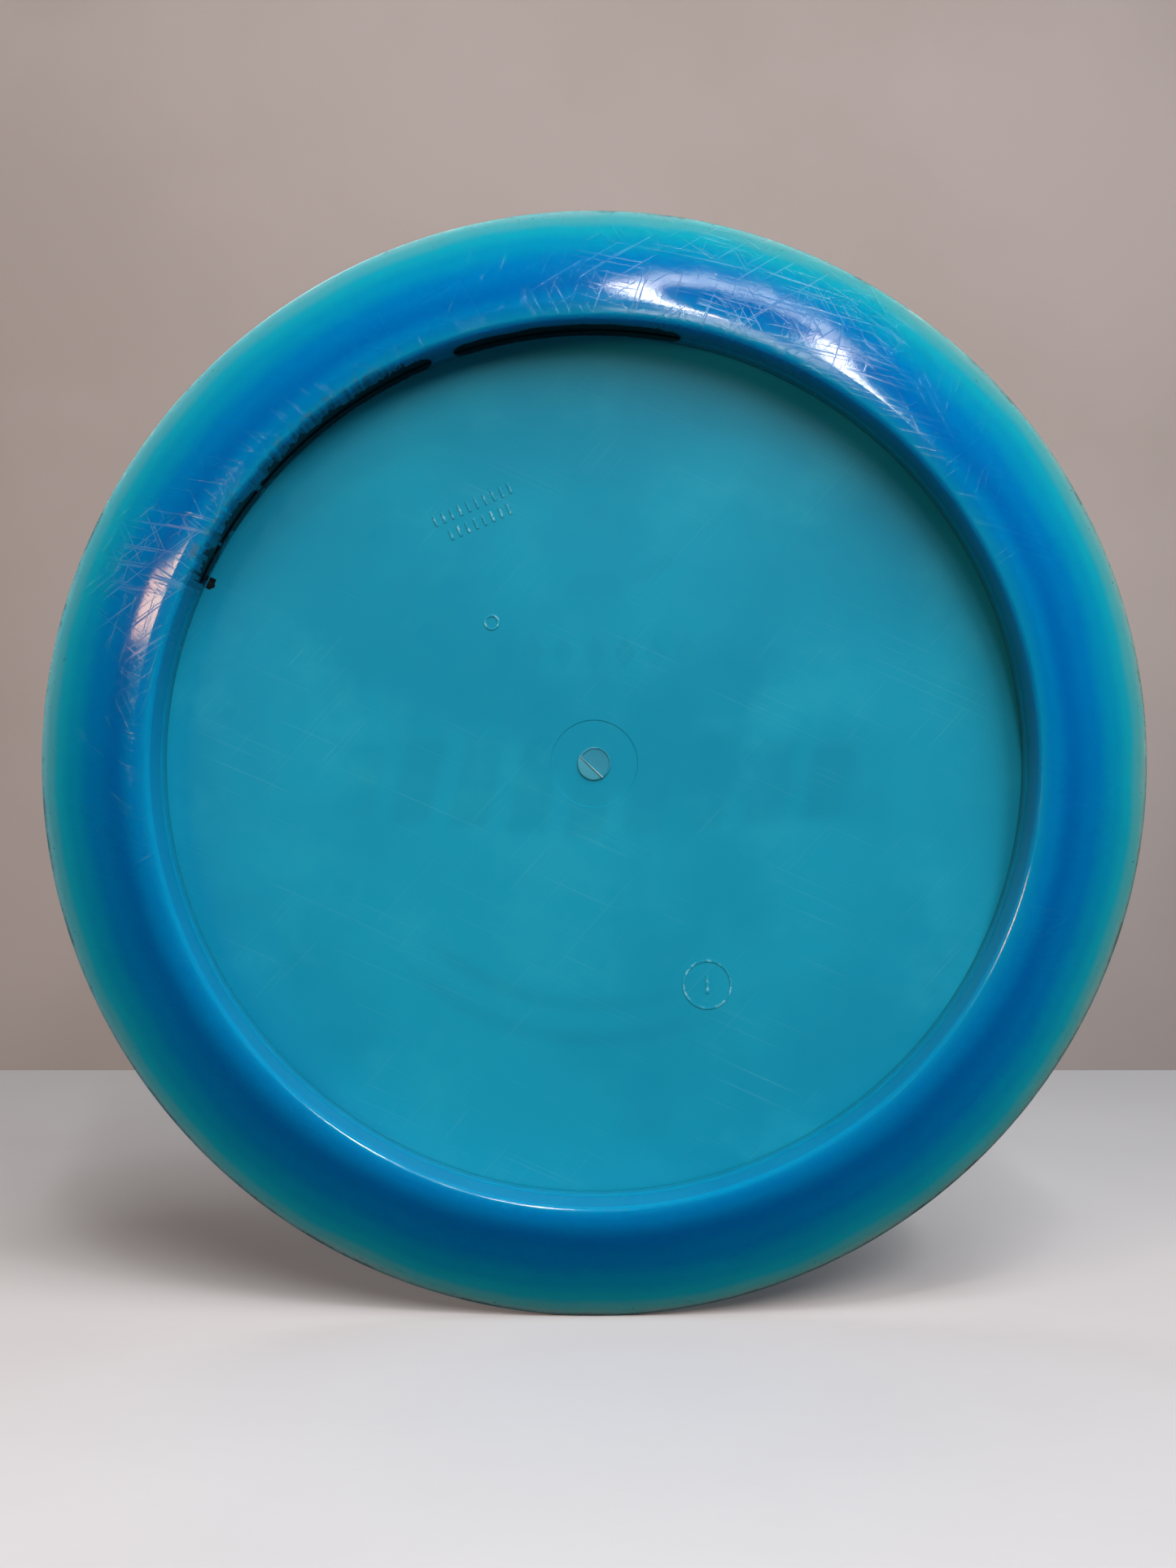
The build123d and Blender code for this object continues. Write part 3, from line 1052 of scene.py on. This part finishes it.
def inked(place, pen, stroke):
    # whether the pen reached this place on the wall
    angle = math.degrees(math.atan2(place.z, place.x))
    radius = math.hypot(place.x, place.z) / mm
    height = (place.y - landDepth) / mm
    along = math.radians(angle) * wallRadius
    start, end = (math.radians(stroke[name]) * wallRadius for name in ("start", "end"))
    if radius < upperWall - pen["wallMargin"]:  # on the plate
        return spotted(along, radius, pen, stroke)
    inset = min(along - start, end - along)
    if inset < 0:
        return False
    rounding = min(1.0, math.sqrt(max(0.0, 1 - (1 - min(1.0, inset / pen["roundEnd"])) ** 2)))
    middle = (pen["low"] + pen["high"]) / 2
    half = (pen["high"] - pen["low"]) / 2
    slow = noise.noise(Vector((along * pen["slow"], 0, stroke["seed"])))
    quick = noise.noise(Vector((along * pen["quick"], 3, stroke["seed"])))
    edge = slow + pen["quickShare"] * quick
    low = middle - half * rounding + edge * stroke["ragged"] + stroke["inwards"]
    high = middle + half * rounding - max(0, edge) * stroke["ragged"] * pen["highShare"]
    across = height - max(0.0, radius - wallRadius)  # past the corner this runs on outwards over the land
    if stroke["stray"]:
        # bristle marks that strayed over the corner
        bristle, patch = pen["bristle"], pen["patch"]
        hair = noise.noise(Vector((along * bristle["along"], height * bristle["up"], stroke["seed"] + 5)))
        clump = noise.noise(Vector((along * patch["along"], 0, stroke["seed"] + 9)))
        nearEnd = max(0.0, 1 - inset / patch["nearEnd"]) if along > (start + end) / 2 else 0.0
        low -= bristle["reach"] * max(0.0, hair + bristle["bias"]) * max(0.0, clump + patch["bias"] + nearEnd)
    return low < across < high


def pinchedPlaces(piece):
    # vertices where two patches of faces meet only at a corner
    shared = Counter(key for face in piece.data.polygons for key in face.edge_keys)
    border = Counter(end for key, faces in shared.items() if faces == 1 for end in key)
    return {end for end, edges in border.items() if edges > 2}


def strayFaces(piece, fewest):
    # faces in patches that are too small to be a mark of the pen
    touching = {}
    for face in piece.data.polygons:
        for key in face.edge_keys:
            touching.setdefault(key, []).append(face.index)
    left, stray = {face.index for face in piece.data.polygons}, set()
    while left:
        patch, waiting = set(), [left.pop()]
        while waiting:
            index = waiting.pop()
            patch.add(index)
            for key in piece.data.polygons[index].edge_keys:
                near = [other for other in touching[key] if other in left]
                left.difference_update(near)
                waiting.extend(near)
        if len(patch) < fewest:
            stray |= patch
    return stray


def removeFaces(piece, wanted):
    pickFaces(piece, wanted)
    bpy.ops.mesh.delete(type="FACE")
    bpy.ops.object.mode_set(mode="OBJECT")


def drawInk(name, pen, stroke):
    ink = turnSection(name, inkPath(pen), pen["cells"], closed=False)
    removeFaces(ink, lambda face: not inked(face.center, pen, stroke))
    pinched = pinchedPlaces(ink)
    while pinched:
        removeFaces(ink, lambda face: not pinched.isdisjoint(face.vertices))
        pinched = pinchedPlaces(ink)
    stray = strayFaces(ink, pen["fewest"])
    removeFaces(ink, lambda face: face.index in stray)
    bpy.ops.object.mode_set(mode="EDIT")
    bpy.ops.mesh.select_all(action="SELECT")
    bpy.ops.mesh.region_to_loop()
    bpy.ops.mesh.vertices_smooth(factor=0.5, repeat=2)
    bpy.ops.object.mode_set(mode="OBJECT")
    # the ink's front is towards the axis, so its faces are turned round if they look away from it
    outward = 0
    for face in ink.data.polygons:
        outward += face.normal.dot(Vector((face.center.x, 0, face.center.z)).normalized())
    if outward > 0:
        bpy.ops.object.mode_set(mode="EDIT")
        bpy.ops.mesh.select_all(action="SELECT")
        bpy.ops.mesh.flip_normals()
        bpy.ops.object.mode_set(mode="OBJECT")
    applyModifier(ink, "SOLIDIFY", thickness=pen["thickness"] * mm, offset=1.0)
    return ink


for name, stroke in inkStrokes.items():
    ink = drawInk(name, inkPen, stroke)
    finishPiece(ink, markerInk, stroke["node"])
    print(name, "drawn:", len(ink.data.polygons), "faces")


# the details that stay as the CAD has them

def dress(nodeName, material):
    node = frame["nodes"][nodeName]
    node.data.materials.clear()
    node.data.materials.append(material)


dress("mould_marks", markPlastic)
for nodeName in ("foil_crest", "foil_row", "foil_band", "foil_sweep"):
    dress(nodeName, stampFoil)


# the stage

stageSettings = {
    "floorFront": -2.5,
    "floorBack": 0.255,
    "wallBack": 0.52,
    "halfWidth": 3.0,
    "wallTop": 2.2,
    "driftScale": 6.0,
    "drift": (0.35, 0.65),
    "toothScale": 300.0,
    "tooth": (0.0002, 0.3),
}


def stagePlane(name, corners, colour, roughness):
    bpy.ops.object.select_all(action="DESELECT")
    bpy.ops.mesh.primitive_plane_add(size=1)
    plane = bpy.context.object
    plane.name = name
    for vertex, corner in zip(plane.data.vertices, corners):
        vertex.co = corner
    material, tree, shader = newMaterial(name + "Paint")
    coords = tree.nodes.new("ShaderNodeTexCoord").outputs["Object"]
    drift = between(tree, grain(tree, coords, stageSettings["driftScale"], 5.0), *stageSettings["drift"])
    pale, deep = colour
    tree.links.new(blend(tree, drift, tone(deep), tone(pale)), shader.inputs["Base Color"])
    tooth = bump(tree, grain(tree, coords, stageSettings["toothScale"], 3.0), *stageSettings["tooth"])
    tree.links.new(tooth, shader.inputs["Normal"])
    shader.inputs["Roughness"].default_value = roughness
    plane.data.materials.append(material)
    plane.visible_glossy = False  # the stage lights nothing and shows in no reflection
    plane.visible_diffuse = False


side, front, back = (stageSettings[name] for name in ("halfWidth", "floorFront", "floorBack"))
wall, top = stageSettings["wallBack"], stageSettings["wallTop"]
stagePlane(
    "floor",
    [(x, y, floorHeight) for y in (front, back) for x in (-side, side)],
    ("dcdadd", "d5d3d6"),
    0.5,
)
stagePlane(
    "backdrop",
    [(x, wall, z) for z in (-top, top) for x in (-side, side)],
    ("c3b8b6", "bcb1ae"),
    0.8,
)

roomLight = {"Color": (0.75, 0.73, 0.72, 1), "Strength": 0.055}
world = bpy.data.worlds.new("room")
world.use_nodes = True
for name, value in roomLight.items():
    world.node_tree.nodes["Background"].inputs[name].default_value = value
world.cycles_visibility.glossy = False
bpy.context.scene.world = world


def areaLight(name, place, size, power, colour=(1, 1, 1), roll=0.0, mirrored=True):
    data = bpy.data.lights.new(name, "AREA")
    data.shape = "RECTANGLE"
    data.size, data.size_y = size
    data.energy = power
    data.color = colour
    light = bpy.data.objects.new(name, data)
    light.location = place
    light.rotation_mode = "QUATERNION"
    facing = Vector(place).to_track_quat("Z", "Y")
    light.rotation_quaternion = facing @ Quaternion((0, 0, 1), math.radians(roll))
    light.visible_glossy = mirrored
    bpy.context.scene.collection.objects.link(light)
    return light


# a lamp like a broken ring: two bright legs, a faint arch over them and a faint foot between them
lampFront = -0.60
lampLegs = {
    "lampLeft": {"place": (0.07, lampFront, 0.50), "size": (0.036, 0.46), "power": 1.9},
    "lampRight": {"place": (0.29, lampFront, 0.47), "size": (0.06, 0.42), "power": 2.6, "roll": -32},
    "lampFoot": {"place": (0.085, lampFront, 0.245), "size": (0.14, 0.03), "power": 0.09},
}
lampArch = {
    "steps": 6,
    "middle": (0.28, 0.79),
    "reach": (0.215, 0.24),
    "first": 165,
    "last": 15,
    "size": (0.12, 0.08),
    "power": 0.2,
}
softLights = {
    "warmLamp": {
        "place": (-0.48, lampFront, 0.19),
        "size": (0.42, 0.08),
        "power": 2.0,
        "colour": (1.0, 0.60, 0.34),
        "roll": -12,
    },
    "overhead": {"place": (0.20, -0.38, 0.88), "size": (0.60, 0.30), "power": 4.2, "mirrored": False},
    "rightSoft": {"place": (0.55, -0.35, 0.45), "size": (0.40, 0.30), "power": 0.9, "mirrored": False},
    "tableGlow": {"place": (0.16, -0.42, -0.085), "size": (0.60, 0.10), "power": 0.16, "mirrored": False},
    "rearSoft": {"place": (-0.5, 0.40, 0.9), "size": (0.6, 0.3), "power": 1.8},
}
rearLight = {"place": (-0.62, 0.42, 0.45), "size": (0.40, 0.40), "power": 6.5, "mirrored": False}


def lightArch(arch):
    for step in range(arch["steps"]):
        turn = arch["first"] + (arch["last"] - arch["first"]) * step / (arch["steps"] - 1)
        across = arch["middle"][0] + arch["reach"][0] * math.cos(math.radians(turn))
        up = arch["middle"][1] + arch["reach"][1] * math.sin(math.radians(turn))
        areaLight(f"lampArch{step}", (across, lampFront, up), arch["size"], arch["power"], roll=turn - 90)


for name, light in lampLegs.items():
    areaLight(name, **light)
lightArch(lampArch)
for name, light in softLights.items():
    areaLight(name, **light)

# the light behind reaches only the disc, so it shows the top face and leaves the floor's shadows alone
discGroup = bpy.data.collections.new("discGroup")
for piece in bpy.context.scene.objects:
    if piece.type == "MESH" and piece.name not in ("floor", "backdrop"):
        discGroup.objects.link(piece)
rearTop = areaLight("rearTop", **rearLight)
rearTop.visible_camera = False
rearTop.light_linking.receiver_collection = discGroup
print("stage and lights ready")
